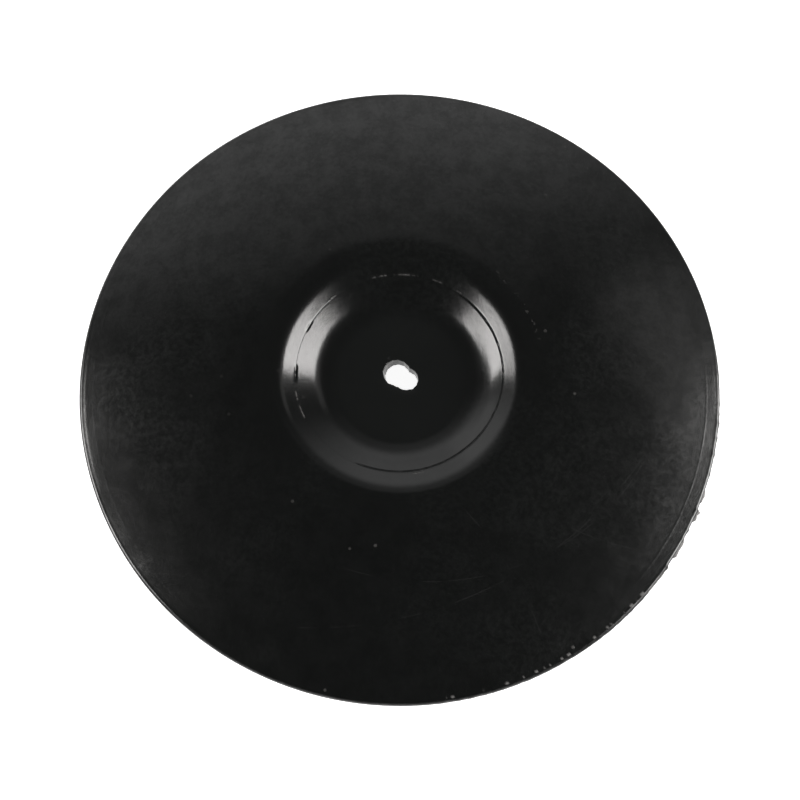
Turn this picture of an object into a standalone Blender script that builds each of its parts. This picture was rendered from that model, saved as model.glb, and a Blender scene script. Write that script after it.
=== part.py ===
"""Cup of a sink plunger: a shallow rubber dome with a sunken seat for the handle.

The cup is a single rubber moulding, so it has no loose parts. It works by bending, and each
object here is the zone of the moulding that keeps its shape between two bending circles.
The lip stays sealed to the sink, the web rings share the travel, and the hub is pushed and
pulled by the handle. Every section is turned about +Z, and the lip rests on Z = 0.
"""

from math import asin, cos, pi, radians, sin, tan

import bmesh
import bpy
import numpy as np
from mathutils import Matrix, Vector

MM = 0.001

# Driving dimensions, in millimetres and degrees.
CUP_R = 50.0  # outer radius of the lip
LIP_R = 47.7  # moulded line between the web and the lip
BRIM_R = 45.0  # the dome is three arcs, which meet here and at the shoulder
SHOULDER_R = 27.5
CROWN_OUT_R = 21.5  # the crown is level between these two radii
CROWN_IN_R = 19.8
WALL_OUT_R = 17.6  # the wall of the seat is a plain cone between these two radii
WALL_IN_R = 13.3
CREASE_R = 15.9  # mould parting line, on the wall of the seat
FLOOR_R = 10.0  # level floor of the seat
EDGE_H = 1.4  # height of the lip's outer edge
HUB_T = 2.0  # rubber thickness from the shoulder inwards
WEB_T = 1.4  # rubber thickness at the lip
WALL_SLOPE = 32.6
CROWN_EDGE_SLOPE = 3.5  # the dome starts with a slight edge round the crown
SHOULDER_SLOPE = 12.0
BRIM_SLOPE = 19.3
RIM_SLOPE = 20.6
EDGE_ROUND = 0.5  # chamfer along the top of the lip's edge
LIP_FOOT_W = 1.5  # width of the flat ring that the lip rests on

GAP = 0.3  # between neighbouring zones
WEB_RINGS = 4
SEGMENTS = 72
HOLE_SEGMENTS = 28

# The screw hole was punched twice, slightly out of line: (x, y, radius) of each punch.
PUNCHES = ((-0.5, 1.0, 2.08), (1.03, -0.05, 1.78))

# Each arc or cone of the upper surface: (inner radius, outer radius, slope at each end, + is up).
ARCS = (
    (FLOOR_R, WALL_IN_R, 0.0, WALL_SLOPE),
    (WALL_IN_R, WALL_OUT_R, WALL_SLOPE, WALL_SLOPE),
    (WALL_OUT_R, CROWN_IN_R, WALL_SLOPE, 0.0),
    (CROWN_OUT_R, SHOULDER_R, -CROWN_EDGE_SLOPE, -SHOULDER_SLOPE),
    (SHOULDER_R, BRIM_R, -SHOULDER_SLOPE, -BRIM_SLOPE),
    (BRIM_R, CUP_R, -BRIM_SLOPE, -RIM_SLOPE),
)


def arc_slope(arc, radius):
    """Slope of a circular arc in radians: its sine changes evenly with the radius."""
    inner, outer, slope_in, slope_out = arc
    part = (radius - inner) / (outer - inner)
    return asin((1 - part) * sin(radians(slope_in)) + part * sin(radians(slope_out)))


def arc_rise(arc, radius):
    """Height gained from the arc's inner end to the radius, which is limited to the arc."""
    inner, outer, slope_in, _ = arc
    radius = min(max(radius, inner), outer)
    # A chord's slope is midway between the slopes at its two ends.
    return (radius - inner) * tan((radians(slope_in) + arc_slope(arc, radius)) / 2)


def rise(radius):
    """Height of the upper surface above the seat's floor."""
    return sum(arc_rise(arc, radius) for arc in ARCS)


FLOOR_Z = EDGE_H - rise(CUP_R)
CROWN_Z = FLOOR_Z + rise(CROWN_OUT_R)
CREASE_Z = FLOOR_Z + rise(CREASE_R)
LEAN_Z = CREASE_Z - HUB_T / 2  # the seat rocks about the middle of its wall


def top_z(radius):
    return FLOOR_Z + rise(radius)


def slope(radius):
    """Slope of the upper surface in radians, positive where it rises outwards."""
    for arc in ARCS:
        if arc[0] <= radius <= arc[1]:
            return arc_slope(arc, radius)
    return 0.0


def thickness(radius):
    return float(np.interp(radius, (SHOULDER_R, CUP_R), (HUB_T, WEB_T)))


def offset_surface():
    """Radii and heights of the lower surface, square to the upper one at each point."""
    radii, heights = [], []
    for radius in np.arange(0.0, CUP_R + 0.05, 0.1):
        angle, depth = slope(radius), thickness(radius)
        radii.append(radius + depth * sin(angle))
        heights.append(top_z(radius) - depth * cos(angle))
    return radii, heights


UNDER = offset_surface()


def under_z(radius):
    return float(np.interp(radius, *UNDER))


def rubber(name, grey, roughness):
    """Black rubber: a dark grey Principled surface."""
    material = bpy.data.materials.new(name + "_rubber")
    material.use_nodes = True
    surface = material.node_tree.nodes["Principled BSDF"]
    surface.inputs["Base Color"].default_value = (grey, grey, grey, 1.0)
    surface.inputs["Roughness"].default_value = roughness
    surface.inputs["Metallic"].default_value = 0.0
    return material


def place(mesh, name, material, origin_z, parent=None):
    """Links a mesh made in cup coordinates as an object whose origin is on the cup's axis."""
    mesh.transform(Matrix.Translation((0.0, 0.0, -origin_z * MM)))
    mesh.shade_smooth()
    mesh.set_sharp_from_angle(angle=radians(30))
    mesh.materials.append(material)
    piece = bpy.data.objects.new(name, mesh)
    bpy.context.scene.collection.objects.link(piece)
    base_z = origin_z
    if parent:
        piece.parent = parent
        base_z -= parent.location.z / MM
    piece.location.z = base_z * MM
    return piece


def joint_frame(name, origin_z, parent=None):
    """An empty on a joint's axis."""
    frame = bpy.data.objects.new(name, None)
    bpy.context.scene.collection.objects.link(frame)
    frame.empty_display_size = 10 * MM
    frame.location.z = origin_z * MM
    if parent:
        frame.parent = parent
        frame.location.z -= parent.location.z
    return frame


def turned(section, name):
    """A closed section of (radius, height) points, spun once round the cup's axis."""
    shape = bmesh.new()
    corners = [shape.verts.new((radius * MM, 0.0, height * MM)) for radius, height in section]
    edges = [shape.edges.new((corners[i - 1], corner)) for i, corner in enumerate(corners)]
    bmesh.ops.spin(
        shape,
        geom=corners + edges,
        cent=(0.0, 0.0, 0.0),
        axis=(0.0, 0.0, 1.0),
        angle=2 * pi,
        steps=SEGMENTS,
        use_merge=True,
    )
    bmesh.ops.remove_doubles(shape, verts=shape.verts, dist=0.001 * MM)
    bmesh.ops.recalc_face_normals(shape, faces=shape.faces)
    mesh = bpy.data.meshes.new(name)
    shape.to_mesh(mesh)
    shape.free()
    return mesh


def zone(inner, outer, steps):
    """Section of the sheet between two circles, half a gap inside each of them."""
    radii = np.linspace(inner + GAP / 2, outer - GAP / 2, steps + 1)
    upper = [(radius, top_z(radius)) for radius in radii]
    lower = [(radius, under_z(radius)) for radius in reversed(radii)]
    return upper + lower


def lip_section():
    """The lip: the end of the sheet, thickened below to a flat foot."""
    inner = LIP_R + GAP / 2
    shoulder = CUP_R - EDGE_ROUND
    return [
        (inner, top_z(inner)),
        ((inner + shoulder) / 2, top_z((inner + shoulder) / 2)),
        (shoulder, top_z(shoulder)),
        (CUP_R, EDGE_H - EDGE_ROUND),
        (CUP_R, 0.0),
        (CUP_R - LIP_FOOT_W, 0.0),
        (inner, under_z(inner)),
    ]


def web_circles():
    """The circles between the web rings, from the lip inwards."""
    return np.linspace(LIP_R, CROWN_OUT_R, WEB_RINGS + 1)


def build_lip():
    place(turned(lip_section(), "sealing_lip"), "sealing_lip", rubber("lip", 0.022, 0.46), 0.0)


def build_web():
    circles = web_circles()
    for index, (outer, inner) in enumerate(zip(circles, circles[1:]), start=1):
        name = f"flex_web_{index}"
        mesh = turned(zone(inner, outer, 4), name)
        place(mesh, name, rubber(name, 0.02, 0.42), top_z((inner + outer) / 2))


def build_hub():
    """The crown slides with the handle, and the seat also rocks in it."""
    press = joint_frame("press_frame", CROWN_Z)
    lean = joint_frame("lean_frame", LEAN_Z, press)
    crown = turned(zone(CREASE_R, CROWN_OUT_R, 6), "crown_ring")
    place(crown, "crown_ring", rubber("crown", 0.018, 0.38), CROWN_Z, press)
    wall = turned(zone(FLOOR_R, CREASE_R, 6), "seat_wall")
    wall = place(wall, "seat_wall", rubber("wall", 0.018, 0.36), LEAN_Z)
    floor = place(seat_floor_mesh(), "seat_floor", rubber("floor", 0.02, 0.42), LEAN_Z)
    for piece in (wall, floor):
        piece.location.z = 0.0
        piece.parent = lean
    for index, (x, y, radius) in enumerate(PUNCHES, start=1):
        punch(floor, f"hole_punch_{index}", x, y, radius)


def seat_floor_mesh():
    """The level disc under the handle's end, before it is punched."""
    shape = bmesh.new()
    radius = (FLOOR_R - GAP / 2) * MM
    bmesh.ops.create_cone(
        shape, cap_ends=True, segments=SEGMENTS, radius1=radius, radius2=radius, depth=HUB_T * MM
    )
    bmesh.ops.translate(shape, vec=Vector((0.0, 0.0, (FLOOR_Z - HUB_T / 2) * MM)), verts=shape.verts)
    mesh = bpy.data.meshes.new("seat_floor")
    shape.to_mesh(mesh)
    shape.free()
    return mesh


def punch(piece, name, x, y, radius):
    """Cuts one round hole through the seat's floor."""
    shape = bmesh.new()
    bmesh.ops.create_cone(
        shape,
        cap_ends=True,
        segments=HOLE_SEGMENTS,
        radius1=radius * MM,
        radius2=radius * MM,
        depth=3 * HUB_T * MM,
    )
    mesh = bpy.data.meshes.new(name)
    shape.to_mesh(mesh)
    shape.free()
    cutter = bpy.data.objects.new(name, mesh)
    bpy.context.scene.collection.objects.link(cutter)
    cutter.location = (x * MM, y * MM, (FLOOR_Z - HUB_T / 2) * MM)
    cutter.hide_render = True
    cutter.display_type = "WIRE"
    cut = piece.modifiers.new(name, "BOOLEAN")
    cut.operation = "DIFFERENCE"
    cut.solver = "EXACT"
    cut.object = cutter


def clear_scene():
    for existing in list(bpy.data.objects):
        bpy.data.objects.remove(existing)


clear_scene()
build_lip()
build_web()
build_hub()
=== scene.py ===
"""Looks of the sink plunger's cup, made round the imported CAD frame.

The real cup is one rubber moulding, so its skin is continuous here. It is two pieces that
meet along the mould's parting line: the web, which bends between the lip and the hub, and
the handle's seat, which rocks in the hub. Lengths are in millimetres until a mesh is made.
"""

from math import asin, cos, pi, radians, sin, sqrt, tan

import bmesh
import bpy
import numpy as np
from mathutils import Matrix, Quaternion, Vector, noise


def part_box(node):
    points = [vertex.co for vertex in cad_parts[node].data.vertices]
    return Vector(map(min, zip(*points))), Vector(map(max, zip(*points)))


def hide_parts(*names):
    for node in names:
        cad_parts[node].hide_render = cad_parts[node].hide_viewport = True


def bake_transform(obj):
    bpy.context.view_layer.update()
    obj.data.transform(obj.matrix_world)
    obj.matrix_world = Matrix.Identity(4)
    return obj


MM = 0.001

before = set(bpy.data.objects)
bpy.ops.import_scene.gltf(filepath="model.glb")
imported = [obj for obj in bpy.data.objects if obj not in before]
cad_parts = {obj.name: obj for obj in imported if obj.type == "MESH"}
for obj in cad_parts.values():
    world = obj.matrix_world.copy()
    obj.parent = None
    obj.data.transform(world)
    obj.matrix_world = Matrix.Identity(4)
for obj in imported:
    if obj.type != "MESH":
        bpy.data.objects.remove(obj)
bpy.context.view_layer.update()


def outer_radius(node):
    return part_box(node)[1].x / MM


# Sizes read from the frame. Neighbouring CAD zones stand half a gap back from their circle.
HALF_GAP = 0.15
CUP_R = outer_radius("sealing_lip")
LIP_R = outer_radius("flex_web_1") + HALF_GAP
CROWN_OUT_R = outer_radius("crown_ring") + HALF_GAP
CREASE_R = outer_radius("seat_wall") + HALF_GAP
FLOOR_R = outer_radius("seat_floor") + HALF_GAP
FLOOR_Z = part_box("seat_floor")[1].z / MM
HUB_T = FLOOR_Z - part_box("seat_floor")[0].z / MM

# The rest of the section, as in the CAD.
BRIM_R = 45.0
SHOULDER_R = 27.5
CROWN_IN_R = 19.8
WALL_OUT_R = 17.6
WALL_IN_R = 13.3
WALL_SLOPE = 32.6
CROWN_EDGE_SLOPE = 3.5
SHOULDER_SLOPE = 12.0
BRIM_SLOPE = 19.3
RIM_SLOPE = 20.6
WEB_T = 1.4
EDGE_ROUND = 0.5
FOOT_W = 1.5
UNDER_CUT_R = 21.0  # the two skins part here, on the underside of the crown
CUT_GAP = 0.006  # between the two skins, at the parting line

ARCS = (
    (FLOOR_R, WALL_IN_R, 0.0, WALL_SLOPE),
    (WALL_IN_R, WALL_OUT_R, WALL_SLOPE, WALL_SLOPE),
    (WALL_OUT_R, CROWN_IN_R, WALL_SLOPE, 0.0),
    (CROWN_OUT_R, SHOULDER_R, -CROWN_EDGE_SLOPE, -SHOULDER_SLOPE),
    (SHOULDER_R, BRIM_R, -SHOULDER_SLOPE, -BRIM_SLOPE),
    (BRIM_R, CUP_R, -BRIM_SLOPE, -RIM_SLOPE),
)

# The screw hole: two punches, (x, y, radius), and how ragged its edge is.
PUNCHES = ((-0.5, 1.0, 2.08), (1.03, -0.05, 1.78))
TEAR_DEPTH = 0.09
PUNCH_DRAG = 0.06  # how far the punch dragged the edge down

# Directions round the cup, in degrees anticlockwise from +X.
FLASH_START, FLASH_END = -84.0, 2.0  # trimmed mould flash along the rim
NICKED = (-37.0, -19.0)  # where the trimming knife has nicked the outline
TABS = ((-22.0, -19.9), (-25.8, -23.6), (-33.2, -29.9))  # flash left standing past the edge
TAB_OUT = 0.5  # how far a tab stands out
# The pale line on the trimmed edge is partly torn rubber and partly painted highlight.
PALE_LINE = (-41.5, -36.0)  # where the trimmed edge shows as an even pale line
MARKED = (FLASH_START, -41.0)  # where pale marks lie just inside the edge
FINE_STEP, COARSE_STEP, SEAT_STEP = 0.15, 1.0, 1.0  # between neighbouring points of a ring

# Grooves along the parting line: start, end and fade in degrees, depth and half width.
GROOVES = (
    (-112, -30, 14, 0.10, 0.10),
    (-35, 52, 20, 0.10, 0.10),
    (55, 112, 12, 0.03, 0.10),
    (149, 154, 2, 0.12, 0.15),
    (176, 184, 3, 0.16, 0.19),
)
# Short pieces of flash left beside the parting line, in degrees.
CREASE_FLASH = ((-83, -77), (54, 56), (66, 71), (80, 93), (97, 105), (129, 133), (190, 206))
# On the right the two mould halves met out of line, so the wall steps up outwards.
STEP_UP, STEP_W, STEP_END_W = 0.26, 1.7, 3.6
STEPPED = (-36.0, 18.0, 40.0)  # start, end and fade

# How far the seat's wall is moulded off centre on the left and on the right.
LEFT_SHIFT, RIGHT_SHIFT = 0.08, 0.15

# Heights of the unevenness: broad waves and shallow dimples of the web, and fine grain.
WAVE_H, DIMPLE_H, GRAIN_H = 0.05, 0.01, 0.004
# A faint ridge follows the lip's line, and stands higher between these directions.
LIP_RIDGE_H, LIP_RIDGE_EXTRA, LIP_RIDGE_W = 0.003, 0.009, 0.13
LIP_RIDGE_RAISED = (-42.0, 12.0, 16.0)  # start, end and fade


def arc_slope(arc, radius):
    """Slope of a circular arc in radians: its sine changes evenly with the radius."""
    inner, outer, slope_in, slope_out = arc
    part = (radius - inner) / (outer - inner)
    return asin((1 - part) * sin(radians(slope_in)) + part * sin(radians(slope_out)))


def arc_rise(arc, radius):
    """Height gained from the arc's inner end to the radius, which is limited to the arc."""
    inner, outer, slope_in, _ = arc
    radius = min(max(radius, inner), outer)
    # A chord's slope is midway between the slopes at its two ends.
    return (radius - inner) * tan((radians(slope_in) + arc_slope(arc, radius)) / 2)


def top_z(radius):
    """Height of the smooth upper surface."""
    return FLOOR_Z + sum(arc_rise(arc, radius) for arc in ARCS)


def slope(radius):
    """Slope of the upper surface in radians, positive where it rises outwards."""
    for arc in ARCS:
        if arc[0] <= radius <= arc[1]:
            return arc_slope(arc, radius)
    return 0.0


def offset_surface():
    """Radii and heights of the underside, square to the upper surface at each point."""
    radii, heights = [], []
    for radius in np.arange(0.0, CUP_R + 0.05, 0.1):
        angle = slope(radius)
        depth = float(np.interp(radius, (SHOULDER_R, CUP_R), (HUB_T, WEB_T)))
        radii.append(radius + depth * sin(angle))
        heights.append(top_z(radius) - depth * cos(angle))
    return radii, heights


UNDER = offset_surface()


def under_z(radius):
    return float(np.interp(radius, *UNDER))


def ripple(x, y, z, scale, seed):
    """Smooth noise from -1 to 1, with features about scale millimetres across."""
    return noise.noise(Vector((x / scale + seed, y / scale - seed, z / scale + 2 * seed)))


def bump(value, centre, width):
    return float(np.exp(-(((value - centre) / width) ** 2)))


def step(value, low, high):
    """Smooth 0 to 1 between low and high, which may run downwards."""
    part = min(max((value - low) / (high - low), 0.0), 1.0)
    return part * part * (3 - 2 * part)


def inside(direction, start, end, soft=3.0):
    """1 where a direction lies between start and end, fading over soft degrees, else 0."""
    middle, half = (start + end) / 2, (end - start) / 2
    away = abs((direction - middle + 180) % 360 - 180)
    return step(away, half + soft / 2, half - soft / 2)


def directions():
    """Degrees round the cup, close together where the rim is ragged."""
    fine = np.arange(FLASH_START, FLASH_END, FINE_STEP)
    coarse = np.arange(FLASH_END, FLASH_START + 360, COARSE_STEP)
    return np.concatenate([fine, coarse])


# ---------------------------------------------------------------- shape of the moulding


def crease_line(direction):
    """Radius of the parting line's groove, which runs a little inside its circle in front."""
    return CREASE_R - 0.36 * inside(direction, -120, -30, 60)


def groove(radius, direction):
    """Depth of the parting line's groove."""
    away = radius - crease_line(direction)
    away += 0.05 * ripple(direction / 0.7, radius / 0.3, 0, 1.0, 2.6)
    wander = 1 + 0.7 * ripple(direction / 1.1, radius / 0.3, 0, 1.0, 3.1)
    deepest = 0.005 * bump(away, 0, 0.1)
    for start, end, fade, depth, half_width in GROOVES:
        depth *= inside(direction, start, end, fade) * bump(away, 0, half_width)
        deepest = max(deepest, depth)
    return deepest * wander


def crease_flash(direction):
    """How much flash stands beside the parting line, from 0 to 1."""
    left = max(inside(direction, start, end, 2.0) for start, end in CREASE_FLASH)
    return left * min(max(ripple(direction / 1.3, 5, 0, 1.0, 7.7) + 0.35, 0.0), 1.0)


def mould_step(radius, direction):
    """Rise or fall of the wall where the mould halves met out of line."""
    away = radius - CREASE_R
    share = min(max(1 + away / STEP_W, 0.0), 1.0) ** 2
    height = STEP_UP * (share - 0.5) * step(abs(away), STEP_END_W, STEP_W)
    return height * inside(direction, *STEPPED)


def surface_lift(radius, direction):
    """Small unevenness of the upper surface, as a height."""
    x, y = radius * cos(radians(direction)), radius * sin(radians(direction))
    web = step(radius, CROWN_OUT_R - 2, SHOULDER_R + 4)
    lift = web * (WAVE_H * ripple(x, y, 0, 21.0, 1.3) + DIMPLE_H * ripple(x, y, 0, 6.0, 4.1))
    lift += GRAIN_H * ripple(x, y, 0, 2.4, 9.3)
    ridge = LIP_RIDGE_H + LIP_RIDGE_EXTRA * inside(direction, *LIP_RIDGE_RAISED)
    lift += ridge * bump(radius, LIP_R, LIP_RIDGE_W) * (0.7 + 0.5 * ripple(x, y, 0, 5.0, 2.2))
    lift += mould_step(radius, direction) - groove(radius, direction)
    lift += 0.07 * crease_flash(direction) * bump(radius, CREASE_R + 0.2, 0.07)
    return lift


def rim_trim(direction):
    """Radial error of the trimmed edge: nicks and teeth on the right, bits lower down."""
    arc = CUP_R * radians(direction)
    error = 0.05 * ripple(arc, 0, 0, 24.0, 5.5)
    teeth = max(0.0, ripple(arc, 0, 0, 1.0, 6.2) - 0.05)
    error += inside(direction, *NICKED, 6) * (-0.14 + 0.5 * teeth)
    error += inside(direction, NICKED[1], FLASH_END, 6) * (-0.05 + 0.2 * teeth)
    error += inside(direction, FLASH_START, NICKED[0], 4) * 0.05 * ripple(arc, 0, 0, 0.8, 8.8)
    return error


def tab(direction):
    """How far a thin tab of flash stands out past the edge."""
    arc = CUP_R * radians(direction)
    standing = max(inside(direction, start, end, 0.8) for start, end in TABS)
    return TAB_OUT * standing * (0.7 + 0.7 * ripple(arc, 3, 0, 0.8, 1.9))


def hole_radius(direction):
    """Distance from the axis to the hole's edge: two round punches, torn between them."""
    ray = Vector((cos(radians(direction)), sin(radians(direction))))
    first, second = (Vector(p[:2]) for p in PUNCHES)
    run = second - first
    below = run.x * ray.y - run.y * ray.x < 0
    stages = np.linspace(0, 1, 13) if below else (0, 1)
    reach = 0.0
    for part in stages:
        centre = first.lerp(second, part)
        radius = PUNCHES[0][2] * (1 - part) + PUNCHES[1][2] * part
        along = centre.dot(ray)
        across = centre.length_squared - along**2
        if across < radius**2:
            reach = max(reach, along + sqrt(radius**2 - across))
    ragged = ripple(reach * ray.x, reach * ray.y, 0, 0.55, 3.3)
    return reach + TEAR_DEPTH * ragged


def ring(radius_of, height_of, torn_and_lit_of=None):
    """One circle of a turned skin. Each argument takes a direction in degrees."""
    return radius_of, height_of, torn_and_lit_of or (lambda direction: 0.0)


def moulded_radius(radius, direction):
    """Where a circle of the upper surface really lies: the wall is a little off centre."""
    ends = step(radius, FLOOR_R, FLOOR_R + 1.5) * step(radius, CROWN_OUT_R, CROWN_IN_R)
    up_wall = min(max((radius - WALL_IN_R) / (WALL_OUT_R - WALL_IN_R), 0.0), 1.0)
    on_left = LEFT_SHIFT * inside(direction, 125, 212, 50)
    on_right = RIGHT_SHIFT * (1 - up_wall) * max(0.0, cos(radians(direction)))
    return radius + ends * (on_left - on_right)


def top_ring(radius):
    return ring(
        lambda d: moulded_radius(radius, d),
        lambda d: top_z(radius) + surface_lift(radius, d),
        # The flash beside the parting line is painted pale: a painted highlight on its ridge.
        lambda d: 0.2 * crease_flash(d) * bump(radius, CREASE_R + 0.2, 0.1),
    )


def plain_ring(radius, height, trim_share=0.0, tab_share=0.0, torn_and_lit_of=None):
    return ring(
        lambda d: radius + trim_share * rim_trim(d) + tab_share * tab(d),
        lambda d: height,
        torn_and_lit_of,
    )


def under_ring(radius):
    return plain_ring(radius, under_z(radius))


def edge_marks(direction):
    """Small pale marks just inside the edge, low on the right."""
    arc = CUP_R * radians(direction)
    marked = inside(direction, *MARKED, 4)
    return 0.3 * marked * step(ripple(arc, 0, 0, 0.6, 11.4), 0.08, 0.4)


def edge_torn_and_lit(direction):
    """How pale the trimmed face of the edge is, from 0 to 1: partly torn rubber, partly painted
    highlight.
    """
    arc = CUP_R * radians(direction)
    thin = 0.3 * inside(direction, *PALE_LINE, 2)
    nicks = inside(direction, *NICKED, 4) * step(ripple(arc, 0, 0, 1.5, 4.4), 0.1, 0.4)
    return thin + 0.12 * nicks


# Tabs and the trimmed edge are painted pale: partly torn rubber, partly painted highlight.
def tab_torn_and_lit(direction):
    return min(0.25, 1.2 * tab(direction)) + edge_torn_and_lit(direction)


def spread(*stretches):
    """Radii from several (start, end, count) stretches, each without its last value."""
    return [r for start, end, count in stretches for r in np.linspace(start, end, count + 1)[:-1]]


def web_skin_rings():
    """The web and lip, from the parting line outwards, round the rim and back underneath."""
    edge = CUP_R - EDGE_ROUND
    edge_h = top_z(CUP_R)
    radii = spread(
        (CREASE_R + CUT_GAP, CREASE_R + 0.36, 9),
        (CREASE_R + 0.36, CROWN_IN_R, 16),
        (CROWN_IN_R, CROWN_OUT_R, 3),
        (CROWN_OUT_R, SHOULDER_R + 0.5, 9),
        (SHOULDER_R + 0.5, LIP_R - 0.4, 26),
        (LIP_R - 0.4, LIP_R + 0.4, 10),
        (LIP_R + 0.4, edge, 4),
    )
    rings = [top_ring(radius) for radius in radii]
    for turn in (0, 22.5, 45, 67.5, 90):
        out = edge + EDGE_ROUND * sin(radians(turn))
        drop = EDGE_ROUND * (1 - cos(radians(turn)))
        share = turn / 90
        torn_and_lit_of = edge_torn_and_lit if turn > 50 else edge_marks if turn < 10 else None
        rings.append(plain_ring(out, top_z(edge) - drop - 0.05 * share, share, 0, torn_and_lit_of))
    for height, tab_share in ((0.62, 0.1), (0.5, 0.75), (0.38, 1.0), (0.3, 0.4), (0.14, 0.1)):
        rings.append(plain_ring(CUP_R, height * edge_h, 1.0, tab_share, tab_torn_and_lit))
    rings.append(plain_ring(CUP_R - 0.12, 0.02, 0.8))
    rings += [plain_ring(CUP_R - 0.22, 0.0), plain_ring(CUP_R - FOOT_W, 0.0)]
    inner_foot = LIP_R + HALF_GAP
    rings += [under_ring(inner_foot), under_ring(inner_foot - 0.3)]
    rings += [under_ring(r) for r in np.linspace(inner_foot - 1.5, UNDER_CUT_R + 0.05, 22)]
    return rings


def seat_skin_rings():
    """The seat, from the parting line inwards, through the hole and back underneath."""
    radii = spread(
        (CREASE_R - CUT_GAP, CREASE_R - 0.7, 16),
        (CREASE_R - 0.7, FLOOR_R, 18),
    )
    rings = [top_ring(radius) for radius in radii]
    for part in np.linspace(0, 0.96, 18):
        rings.append(floor_ring(part, 0.0))
    rings += [hole_ring(0.035, 0.0), hole_ring(0.0, 0.05)]
    for depth in (0.35, 0.8, 1.25, 1.65, HUB_T - 0.05):
        rings.append(hole_ring(0.0, depth))
    for part in (0.86, 0.7, 0.45, 0.2, 0.0):
        rings.append(floor_ring(part, HUB_T))
    rings += [under_ring(r) for r in np.linspace(FLOOR_R + 0.5, UNDER_CUT_R - 0.05, 16)]
    return rings


def floor_ring(part, depth):
    """A ring of the seat's floor, from its round outer edge (0) to the hole's edge (1)."""
    return ring(
        lambda d: FLOOR_R + (hole_radius(d) - FLOOR_R) * part,
        lambda d: FLOOR_Z - depth + (0 if depth else floor_lift(part, d)),
    )


def floor_lift(part, direction):
    """Height of the seat's floor over its plane: the punch dragged the hole's edge down."""
    radius = FLOOR_R + (hole_radius(direction) - FLOOR_R) * part
    x, y = radius * cos(radians(direction)), radius * sin(radians(direction))
    return 2 * GRAIN_H * ripple(x, y, 0, 2.4, 9.3) - PUNCH_DRAG * step(part, 0.86, 1.0)


def hole_ring(back, depth):
    """A ring of the hole's torn wall, at a depth below the floor. It leans in on the left."""

    def radius_of(direction):
        x, y = 3 * cos(radians(direction)), 3 * sin(radians(direction))
        lean = (0.02 + 0.17 * inside(direction, 95, 205, 90)) * depth
        return hole_radius(direction) + back - lean + 0.05 * ripple(x, y, 2 * depth, 0.5, 6.6)

    # The hole's wall is painted pale grey: partly torn rubber, partly painted light of the wall lit
    # from below.
    def torn_and_lit_of(direction):
        x, y = 3 * cos(radians(direction)), 3 * sin(radians(direction))
        return step(depth, 0, 0.3) * (0.1 + 0.2 * ripple(x, y, 2 * depth, 0.7, 8.2))

    return ring(radius_of, lambda d: FLOOR_Z - PUNCH_DRAG - depth * 0.97, torn_and_lit_of)


def turned_skin(name, rings, angles):
    """A closed skin through rings of points, in metres, with the share of pale torn rubber and painted
    highlight kept on it.
    """
    points, torn_and_lit = [], []
    for radius_of, height_of, torn_and_lit_of in rings:
        for direction in angles:
            radius = radius_of(direction)
            turn = radians(direction)
            place = (radius * cos(turn), radius * sin(turn), height_of(direction))
            points.append([MM * value for value in place])
            torn_and_lit.append(min(max(torn_and_lit_of(direction), 0.0), 1.0))
    count, rows = len(angles), len(rings)
    faces = []
    for row in range(rows):
        here, there = row * count, (row + 1) % rows * count
        for i in range(count):
            j = (i + 1) % count
            faces.append((here + i, here + j, there + j, there + i))
    mesh = bpy.data.meshes.new(name)
    mesh.from_pydata(points, [], faces)
    shape = bmesh.new()
    shape.from_mesh(mesh)
    bmesh.ops.recalc_face_normals(shape, faces=shape.faces)
    shape.to_mesh(mesh)
    shape.free()
    mesh.attributes.new("torn_and_lit", "FLOAT", "POINT").data.foreach_set("value", torn_and_lit)
    mesh.shade_smooth()
    mesh.set_sharp_from_angle(angle=radians(50))
    piece = bpy.data.objects.new(name, mesh)
    bpy.context.scene.collection.objects.link(piece)
    return piece


# ---------------------------------------------------------------- materials

RUBBER_GREY, BLOOM_GREY, SEAT_GREY = 0.0023, 0.0038, 0.0044
# The pale grey below is partly torn rubber and partly painted highlight: the light that flash, torn
# edges and the hole's wall catch.
SCRATCH_GREY, DUST_GREY, TORN_AND_LIT_GREY = 0.03, 0.07, 0.42
MOULDED_ROUGHNESS = (0.17, 0.19)
MEAN_SHEEN = 0.5

# Scratches left by handling: circle centre, radius and width.
SCRATCHES = ((-12, 20, 59, 0.09), (4, 6, 38.5, 0.07), (40, 10, 37, 0.08), (-30, -60, 55, 0.07))


class Nodes:
    """Short calls for building a node tree."""

    def __init__(self, tree):
        self.tree = tree

    def add(self, kind, values=None, **settings):
        made = self.tree.nodes.new(kind)
        for key, value in settings.items():
            setattr(made, key, value)
        for socket, value in (values or {}).items():
            self.set(made.inputs[socket], value)
        return made

    def set(self, socket, value):
        if isinstance(value, bpy.types.NodeSocket):
            self.tree.links.new(value, socket)
        else:
            socket.default_value = value

    def math(self, operation, first, second=0.0):
        values = {0: first, 1: second}
        return self.add("ShaderNodeMath", values, operation=operation).outputs[0]

    def between(self, value, low, high, bottom=0.0, top=1.0):
        """Smooth step of value between low and high, from bottom to top."""
        values = {"Value": value, 1: low, 2: high, 3: bottom, 4: top}
        made = self.add("ShaderNodeMapRange", values, interpolation_type="SMOOTHSTEP")
        return made.outputs["Result"]


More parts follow.
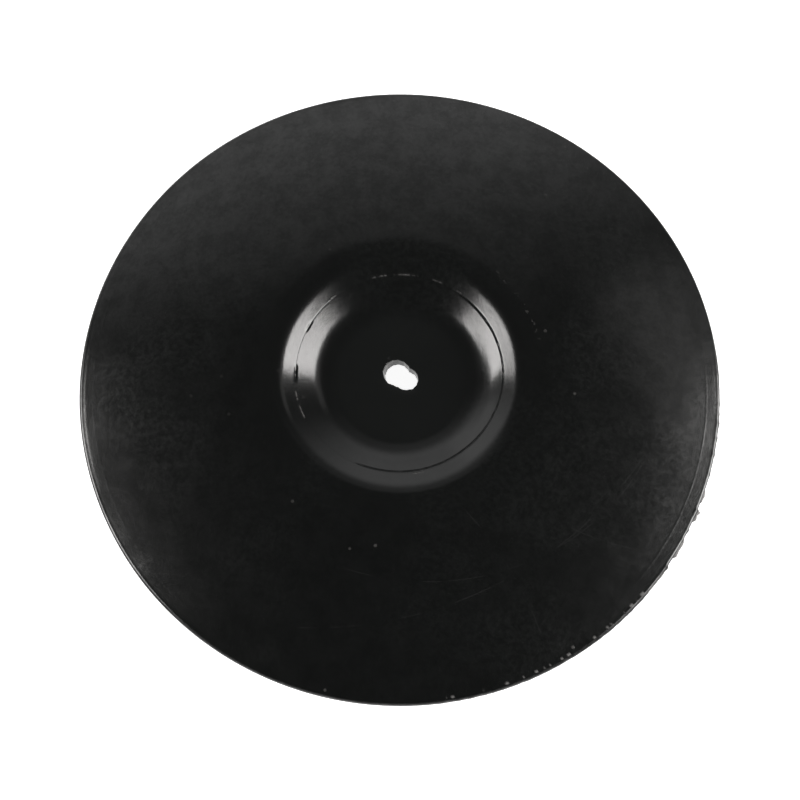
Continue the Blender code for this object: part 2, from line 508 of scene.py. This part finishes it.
class Shader(Nodes):
    """The nodes of one material, with patterns laid out in the cup's own coordinates."""

    def __init__(self, name):
        self.material = bpy.data.materials.new(name)
        self.material.use_nodes = True
        super().__init__(self.material.node_tree)
        self.surface = self.tree.nodes["Principled BSDF"]
        self.coords = self.add("ShaderNodeTexCoord").outputs["Object"]

    def noise(self, size_mm, detail=2.0, rough=0.5):
        """Noise from 0 to 1, with features about size_mm across."""
        values = {
            "Vector": self.coords,
            "Scale": 1 / (size_mm * MM),
            "Detail": detail,
            "Roughness": rough,
        }
        return self.add("ShaderNodeTexNoise", values).outputs["Fac"]

    def mix(self, share, first, second):
        """Mix of two colours."""
        made = self.add("ShaderNodeMix", data_type="RGBA")
        for socket, value in ((0, share), (6, first), (7, second)):
            self.set(made.inputs[socket], value)
        return made.outputs[2]

    def along(self, x, y):
        """How far a point lies along a level direction, in millimetres."""
        values = {0: self.coords, 1: (x / MM, y / MM, 0.0)}
        return self.add("ShaderNodeVectorMath", values, operation="DOT_PRODUCT").outputs["Value"]

    def level_distance(self, x, y):
        """Level distance from (x, y), in millimetres."""
        values = {0: self.coords, 1: (1 / MM, 1 / MM, 0.0)}
        flat = self.add("ShaderNodeVectorMath", values, operation="MULTIPLY").outputs[0]
        values = {0: flat, 1: (x, y, 0.0)}
        return self.add("ShaderNodeVectorMath", values, operation="DISTANCE").outputs["Value"]

    def circle_line(self, x, y, radius, width):
        """A fine line along a circle, fading across its width. All in millimetres."""
        off = self.math("ABSOLUTE", self.math("SUBTRACT", self.level_distance(x, y), radius))
        return self.between(off, width, width * 0.3)


def grey(value, warm=0.0):
    return (value * (1 + warm), value, value * (1 - warm), 1.0)


def tint(value):
    """The rubber's own grey, which is very slightly green."""
    return (value * 0.94, value * 1.05, value, 1.0)


def specks(shader, spacing_mm, share, size):
    """Scattered round specks: the cells of a grid hold one each, and only a share of them."""
    cells = {"Vector": shader.coords, "Scale": 1 / (spacing_mm * MM)}
    made = shader.add("ShaderNodeTexVoronoi", cells)
    chosen = shader.math("GREATER_THAN", made.outputs["Color"], 1 - share)
    near = shader.between(made.outputs["Distance"], size, size * 0.4)
    return shader.math("MULTIPLY", chosen, near)


def scratches(shader):
    """Fine arcs, broken up, mostly low on the right."""
    lines = 0.0
    for arc in SCRATCHES:
        lines = shader.math("MAXIMUM", shader.circle_line(*arc), lines)
    broken = shader.between(shader.noise(6.0, 2.0), 0.5, 0.62)
    low_right = shader.between(shader.along(0.7, -0.7), 4.0, 24.0)
    return shader.math("MULTIPLY", lines, shader.math("MULTIPLY", broken, low_right))


def crumbs(shader):
    """Bits of flash that lie along the crown's outer edge, at the upper right."""
    edge = shader.circle_line(0.0, 0.0, CROWN_OUT_R + 0.3, 0.4)
    upper_right = shader.between(shader.along(0.86, 0.5), 20.4, 21.6)
    scattered = shader.between(shader.noise(0.75, 2.0, 0.6), 0.57, 0.63)
    where = shader.math("MULTIPLY", edge, upper_right)
    return shader.math("MULTIPLY", scattered, shader.math("MULTIPLY", where, 0.5))


def mottled_bloom(shader):
    """Broad patches of a fine grey mottle, from 0 to 1."""
    patches = shader.between(shader.noise(16.0, 3.0), 0.4, 0.68)
    mottle = shader.between(shader.noise(0.8, 3.0, 0.65), 0.36, 0.66)
    return shader.math("MULTIPLY", patches, mottle)


def scattered_dust(shader):
    """Fine specks all over, larger dots that are thickest low on the right, and the crumbs."""
    low_right = shader.between(shader.along(0.6, -0.8), -14.0, 36.0, 0.15, 1.0)
    dots = shader.math("MULTIPLY", specks(shader, 3.4, 0.24, 0.1), low_right)
    dust = shader.math("MAXIMUM", specks(shader, 2.2, 0.07, 0.055), dots)
    return shader.math("MAXIMUM", dust, crumbs(shader))


def rubber_colour(shader, from_axis, bloom, dust, torn_and_lit):
    seat_floor = shader.between(from_axis, 12.5, 9.0)
    scratched = shader.math("MULTIPLY", scratches(shader), 0.22)
    colour = shader.mix(bloom, tint(RUBBER_GREY), tint(BLOOM_GREY))
    colour = shader.mix(seat_floor, colour, tint(SEAT_GREY))
    colour = shader.mix(scratched, colour, grey(SCRATCH_GREY))
    colour = shader.mix(shader.math("MULTIPLY", dust, 0.6), colour, grey(DUST_GREY, 0.03))
    # Pale grey where the mesh asks for it: torn rubber, and partly painted highlight on flash, torn
    # edges and the hole's wall.
    return shader.mix(torn_and_lit, colour, grey(TORN_AND_LIT_GREY, 0.02))


def rubber_roughness(shader, bloom, torn_and_lit, trimmed):
    """The moulded face is the smoothest. Bloom, tears and the trimmed edge are rougher."""
    roughness = shader.between(shader.noise(5.0, 3.0, 0.6), 0.3, 0.7, *MOULDED_ROUGHNESS)
    for part, extra in ((bloom, 0.04), (torn_and_lit, 0.3), (trimmed, 0.3)):
        roughness = shader.math("ADD", roughness, shader.math("MULTIPLY", part, extra))
    return roughness


def rubber_sheen(shader, from_axis, trimmed):
    """How strongly the surface mirrors: uneven on the web, even in the seat, weak at the edge."""
    sheen = shader.math("ADD", shader.noise(0.7, 3.0, 0.7), shader.noise(3.0, 2.0))
    sheen = shader.between(sheen, 0.7, 1.3, -0.1, 0.1)
    on_web = shader.between(from_axis, 19.0, 25.0, 0.15, 1.0)
    sheen = shader.math("ADD", shader.math("MULTIPLY", sheen, on_web), MEAN_SHEEN)
    return shader.math("SUBTRACT", sheen, shader.math("MULTIPLY", trimmed, 0.35))


def rubber_grain(shader, dust):
    """A bumped normal: two sizes of grain, and dust that stands on them. Heights are in mm."""
    grain = shader.math("MULTIPLY", shader.noise(0.35, 3.0, 0.6), 0.004)
    grain = shader.math("ADD", grain, shader.math("MULTIPLY", shader.noise(1.1, 3.0), 0.009))
    grain = shader.math("ADD", grain, shader.math("MULTIPLY", dust, 0.02))
    relief = shader.add("ShaderNodeBump", {"Height": grain, "Strength": 1.0, "Distance": MM})
    return relief.outputs["Normal"]


def rubber():
    """Satin black moulded rubber with a mottled bloom, dust, scratches and pale torn edges, whose
    paleness is partly painted highlight.
    """
    shader = Shader("moulded_black_rubber")
    from_axis = shader.level_distance(0.0, 0.0)
    trimmed = shader.between(from_axis, CUP_R - 0.35, CUP_R - 0.1)
    # Share of pale torn rubber and painted highlight, kept on the mesh.
    torn_and_lit = shader.add("ShaderNodeAttribute", attribute_name="torn_and_lit").outputs["Fac"]
    bloom = mottled_bloom(shader)
    dust = scattered_dust(shader)
    sockets = shader.surface.inputs
    shader.set(sockets["Base Color"], rubber_colour(shader, from_axis, bloom, dust, torn_and_lit))
    shader.set(sockets["Roughness"], rubber_roughness(shader, bloom, torn_and_lit, trimmed))
    shader.set(sockets["Specular IOR Level"], rubber_sheen(shader, from_axis, trimmed))
    shader.set(sockets["Normal"], rubber_grain(shader, dust))
    return shader.material


def floor_material():
    """Pale paper that glows a little, so that it also stays pale in the cup's shade."""
    shader = Shader("pale_floor")
    sockets = shader.surface.inputs
    sockets["Base Color"].default_value = grey(0.8)
    sockets["Roughness"].default_value = 0.9
    sockets["Specular IOR Level"].default_value = 0.0
    sockets["Emission Color"].default_value = grey(1.0)
    sockets["Emission Strength"].default_value = 0.9
    return shader.material


# ---------------------------------------------------------------- the studio

CAMERA_ELEVATION = 72.67
CAMERA_DISTANCE = 0.313
CAMERA_LENS = 90.33
AIM_MM = (0.03, -2.37, 1.0)

# Soft panels that face the cup: direction from +X and elevation of the middle, half width,
# half height and roll in degrees, then radiance.
PANEL_DISTANCE = 1.2
PANELS = (
    (-7.0, 21.8, 23.4, 16.0, -6.0, 13.8),
    (184.2, 25.2, 22.0, 12.4, 16.0, 13.0),
    (27.0, 38.0, 14.0, 8.0, 0.0, 0.42),
    (130.0, 12.0, 15.0, 9.0, 0.0, 0.25),
)
PANEL_COLOUR = (1.0, 0.985, 0.97)

# The room that the rubber mirrors: dark, with a paler wall behind the cup. A direction's z runs
# from 0 at the horizon to 1 overhead, and its turn is in degrees from +X.
DARK_RADIANCE, WALL_RADIANCE, PAPER_RADIANCE = 0.085, 0.84, 0.95
HIGH_FADE, HIGH_SHARE = (0.93, 0.86), 0.32  # z where the wall's upper part fades in
LOW_FADE, LOW_SHARE = (0.75, 0.38), 0.68  # z where its brighter lower part does
RIGHT_END, LEFT_END = (37.0, 82.0), (167.0, 135.0)  # turns where the wall's ends fade in
LEFT_LEAN, RIGHT_LEAN = 1.31, -0.35  # both ends lean inwards overhead, the right one by a share

FLOOR_SIZE, FLOOR_DROP = 12.0, 0.00015  # in metres


def place_camera():
    camera = bpy.data.objects.new("camera", bpy.data.cameras.new("camera"))
    bpy.context.scene.collection.objects.link(camera)
    camera.data.lens = CAMERA_LENS
    camera.data.clip_start = 0.01
    rise = radians(CAMERA_ELEVATION)
    back = Vector((0.0, -cos(rise), sin(rise)))
    camera.location = Vector(AIM_MM) * MM + back * CAMERA_DISTANCE
    camera.rotation_euler = (-back).to_track_quat("-Z", "Y").to_euler()
    bpy.context.scene.camera = camera


def place_panels():
    """A bright soft panel on each side of the cup, and two dim ones further back."""
    for index, (turn, rise, half_w, half_h, roll, radiance) in enumerate(PANELS, start=1):
        data = bpy.data.lights.new(f"panel_{index}", "AREA")
        data.shape = "RECTANGLE"
        data.size = 2 * PANEL_DISTANCE * tan(radians(half_w))
        data.size_y = 2 * PANEL_DISTANCE * tan(radians(half_h))
        data.energy = radiance * pi * data.size * data.size_y
        data.color = PANEL_COLOUR
        light = bpy.data.objects.new(data.name, data)
        bpy.context.scene.collection.objects.link(light)
        turn, rise = radians(turn), radians(rise)
        towards = Vector((cos(rise) * cos(turn), cos(rise) * sin(turn), sin(rise)))
        light.location = towards * PANEL_DISTANCE
        facing = (-towards).to_track_quat("-Z", "Y")
        light.rotation_euler = (facing @ Quaternion((0, 0, 1), radians(roll))).to_euler()
        light.visible_camera = False


def light_world():
    """A dark room with a pale wall behind. The camera itself sees plain pale paper."""
    world = bpy.data.worlds.new("studio")
    world.use_nodes = True
    bpy.context.scene.world = world
    nodes = Nodes(world.node_tree)
    way = nodes.add("ShaderNodeSeparateXYZ", {0: nodes.add("ShaderNodeTexCoord").outputs["Generated"]})
    turn = nodes.math("ARCTAN2", way.outputs["Y"], way.outputs["X"])
    height = way.outputs["Z"]

    high_part = nodes.math("MULTIPLY", nodes.between(height, *HIGH_FADE), HIGH_SHARE)
    low_part = nodes.math("MULTIPLY", nodes.between(height, *LOW_FADE), LOW_SHARE)
    lean = nodes.math("MULTIPLY", nodes.math("POWER", height, 4.0), LEFT_LEAN)
    right_turn = nodes.math("ADD", turn, nodes.math("MULTIPLY", lean, RIGHT_LEAN))
    right_end = nodes.between(right_turn, *map(radians, RIGHT_END))
    left_end = nodes.between(nodes.math("ADD", turn, lean), *map(radians, LEFT_END))
    across = nodes.math("MULTIPLY", right_end, left_end)
    wall = nodes.math("MULTIPLY", across, nodes.math("ADD", high_part, low_part))
    wall = nodes.math("MULTIPLY", wall, WALL_RADIANCE - DARK_RADIANCE)
    room = nodes.math("ADD", wall, DARK_RADIANCE)

    by_camera = nodes.add("ShaderNodeLightPath").outputs["Is Camera Ray"]
    seen = nodes.add("ShaderNodeMix", {0: by_camera, 2: room, 3: PAPER_RADIANCE})
    background = nodes.tree.nodes["Background"].inputs
    background["Color"].default_value = grey(1.0)
    nodes.set(background["Strength"], seen.outputs[0])


def place_floor():
    bpy.ops.mesh.primitive_plane_add(size=FLOOR_SIZE, location=(0.0, 0.0, -FLOOR_DROP))
    floor = bpy.context.object
    floor.name = "floor"
    floor.data.materials.append(floor_material())


# ---------------------------------------------------------------- putting it together

place_camera()
place_panels()
light_world()
place_floor()

rubber_material = rubber()

web_skin = turned_skin("web_skin", web_skin_rings(), directions())
web_skin.data.materials.append(rubber_material)
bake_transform(web_skin)
web_nodes = [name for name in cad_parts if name.startswith("flex_web")]
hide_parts("sealing_lip", "crown_ring", *sorted(web_nodes))

seat_skin = turned_skin("seat_skin", seat_skin_rings(), np.arange(0.0, 360.0, SEAT_STEP))
seat_skin.data.materials.append(rubber_material)
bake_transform(seat_skin)
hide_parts("seat_wall", "seat_floor")

bpy.context.scene.view_settings.view_transform = "Standard"
